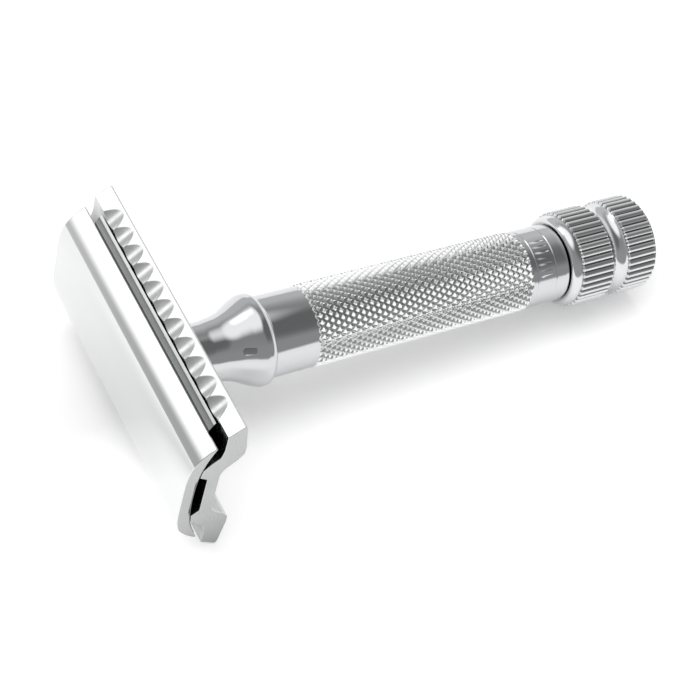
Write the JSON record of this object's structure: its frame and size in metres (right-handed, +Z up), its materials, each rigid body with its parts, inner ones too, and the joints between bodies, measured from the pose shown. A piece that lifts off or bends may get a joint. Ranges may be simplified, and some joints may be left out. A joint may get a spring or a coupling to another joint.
{
  "type": "safety razor",
  "caption": "Chromed double-edge safety razor with a clamped cap, scalloped safety bars, a knurled tubular handle and a turning knob that draws the cap down.",
  "frame": {"origin": "centre of the bounding box's base, at the level the razor lies on", "axes": "+X from the head to the knob, seen from above; +Y along the head; +Z up. The handle axis dips towards the knob by 4.18 degrees"},
  "size_m": [0.086, 0.043, 0.0259],
  "materials": {
    "head_chrome": "polished chrome plate",
    "handle_chrome": "polished chrome plate, diamond knurled along the grip",
    "knob_chrome": "polished chrome plate with two fluted bands",
    "blade_steel": "fine ground stainless strip",
    "brass": "turned brass",
    "rod_steel": "drawn steel"
  },
  "bodies": {
    "handle": {"base_plate": "head_chrome", "neck": "handle_chrome", "handle_tube": "handle_chrome", "front_bush": "brass", "rear_bush": "brass", "thrust_washer": "brass", "wave_washer": "rod_steel"},
    "knob": {"knob": "knob_chrome", "draw_rod": "rod_steel", "rod_socket": "brass"},
    "cap": {"cap": "head_chrome", "cap_stud": "brass", "locating_pin_near": "head_chrome", "locating_pin_far": "head_chrome"},
    "blade": {"blade": "blade_steel"}
  },
  "joints": [
    {"name": "knob_turn", "type": "hinge", "parent": "handle", "child": "knob", "pos_m": [0.03499, 0, 0.00776], "axis": [0.9973, 0, -0.0728], "range_deg": [0, 3600]},
    {"name": "cap_lift", "type": "slide", "parent": "handle", "child": "cap", "axis": [-0.9973, 0, 0.0728], "range_m": [0, 0.008]},
    {"name": "blade_lift", "type": "slide", "parent": "handle", "child": "blade", "axis": [-0.9973, 0, 0.0728], "range_m": [0, 0.004]}
  ],
  "couplings": [
    {"joint": "knob_turn", "follows": "cap_lift", "rad_per_m": 7853.9},
    {"joint": "blade_lift", "follows": "cap_lift", "ratio": 0.5}
  ]
}
